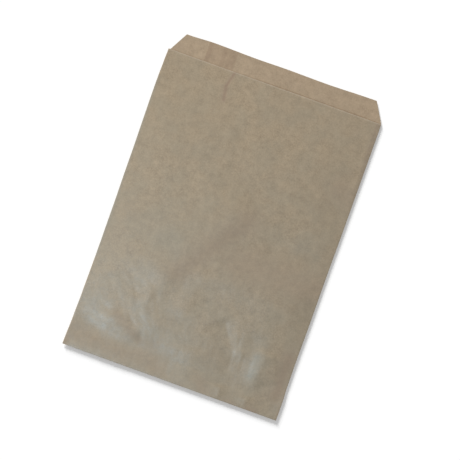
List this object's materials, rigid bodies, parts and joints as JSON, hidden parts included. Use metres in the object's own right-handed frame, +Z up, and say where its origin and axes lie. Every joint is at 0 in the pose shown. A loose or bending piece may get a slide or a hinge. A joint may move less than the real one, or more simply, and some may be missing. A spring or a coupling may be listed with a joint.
{
  "type": "flat paper bag",
  "caption": "Flat brown kraft merchandise bag, lying on its back, with a pasted back lap, a pasted bottom flap and a lip with cut corners standing above the mouth.",
  "frame": {"origin": "centre of the bag's footprint, on the surface it lies on", "axes": "+X across the bag to the right as seen from the front, +Y along it towards the mouth, +Z up out of the front panel"},
  "size_m": [0.1598, 0.2358, 0.0035],
  "materials": {
    "kraft_paper": "machine-glazed brown kraft, a soft sheen outside and matte inside"
  },
  "bodies": {
    "root": {"paper_bag": "kraft_paper"}
  },
  "joints": []
}
